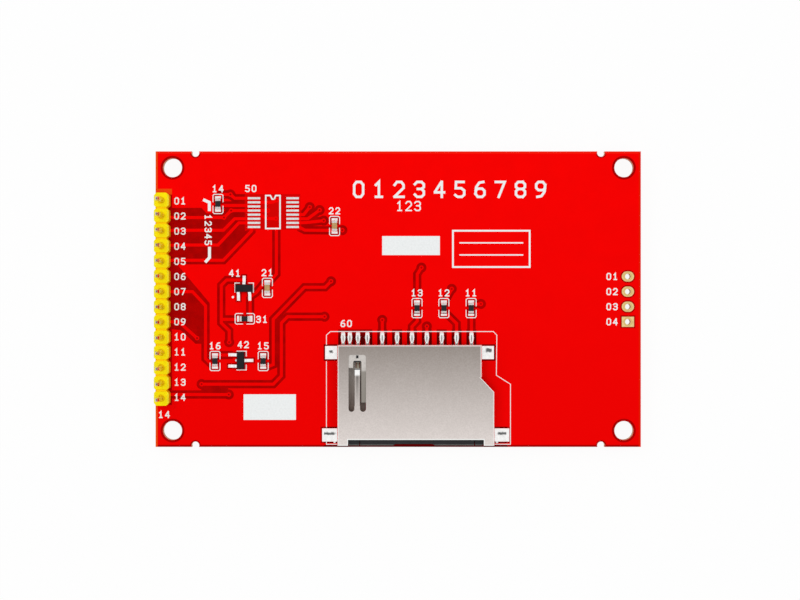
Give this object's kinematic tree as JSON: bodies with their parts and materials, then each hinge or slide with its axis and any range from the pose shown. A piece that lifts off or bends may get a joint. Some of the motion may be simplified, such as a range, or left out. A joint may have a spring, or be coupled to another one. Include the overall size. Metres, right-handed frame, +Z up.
{
  "type": "tft display module",
  "caption": "Bare colour display panel taped to a red circuit board with a pin header and a memory card socket, lying face down.",
  "frame": {"origin": "under the middle of the board, in the plane of the display's front face", "axes": "+X along the board away from the pin header, +Y across it away from the card slot, +Z up through the board towards its component side"},
  "size_m": [0.0816, 0.0496, 0.0132],
  "materials": {
    "red_mask": "dark solder mask over glass-fibre board",
    "masked_copper": "bright solder mask over copper",
    "yellow_plastic": "satin moulded header plastic",
    "gold_pin": "bright plated pins",
    "gold_contact": "bright plated card contacts",
    "plated_pad": "pale plated pads",
    "tinned_pad": "tinned pads",
    "solder": "bright solder",
    "shell_steel": "satin stamped stainless steel",
    "spring_steel": "satin spring strip",
    "black_plastic": "matt moulded socket base",
    "moulded_black": "moulded transistor body",
    "tin_lead": "tinned leads",
    "resistor_body": "black glaze with tinned ends",
    "capacitor_body": "tan ceramic with tinned ends",
    "polariser_film": "dark display surface",
    "display_glass": "clear glass",
    "white_plastic": "satin white frame",
    "tray_steel": "folded steel tray",
    "black_tape": "black tape",
    "optical_film": "clear optical film",
    "clear_acrylic": "clear light guide",
    "white_film": "white reflector",
    "led_package": "white LED packages with yellow phosphor",
    "amber_flex": "amber polyimide flex",
    "silicon": "bare silicon chip",
    "foam": "black foam tape"
  },
  "bodies": {
    "root": {"front_polariser": "polariser_film", "filter_glass": "display_glass", "array_glass": "display_glass", "rear_polariser": "polariser_film", "shade_tape": "black_tape", "prism_sheet_front": "optical_film", "prism_sheet_back": "optical_film", "diffuser_sheet": "white_film", "light_guide": "clear_acrylic", "reflector_sheet": "white_film", "led_strip": "amber_flex", "backlight_leds": "led_package", "backlight_frame": "white_plastic", "back_tray": "tray_steel", "driver_chip": "silicon", "display_flex": "amber_flex", "flex_solder": "solder", "foam_tape": "foam", "circuit_board": "red_mask", "copper_layer": "masked_copper", "header_strip": "yellow_plastic", "header_pin_1": "gold_pin", "header_pin_2": "gold_pin", "header_pin_3": "gold_pin", "header_pin_4": "gold_pin", "header_pin_5": "gold_pin", "header_pin_6": "gold_pin", "header_pin_7": "gold_pin", "header_pin_8": "gold_pin", "header_pin_9": "gold_pin", "header_pin_10": "gold_pin", "header_pin_11": "gold_pin", "header_pin_12": "gold_pin", "header_pin_13": "gold_pin", "header_pin_14": "gold_pin", "header_solder": "solder", "spare_pads": "plated_pad", "touch_chip_pads": "tinned_pad", "socket_shell": "shell_steel", "socket_base": "black_plastic", "card_contacts": "gold_contact", "switch_spring": "spring_steel", "switch_contact": "spring_steel", "socket_solder": "solder", "regulator_body": "moulded_black", "regulator_leads": "tin_lead", "transistor_body": "moulded_black", "transistor_leads": "tin_lead", "resistor_1": "resistor_body", "resistor_2": "resistor_body", "resistor_3": "resistor_body", "resistor_4": "resistor_body", "resistor_5": "resistor_body", "resistor_6": "resistor_body", "capacitor_1": "capacitor_body", "capacitor_2": "capacitor_body", "link": "resistor_body", "chip_solder": "solder"}
  },
  "joints": []
}
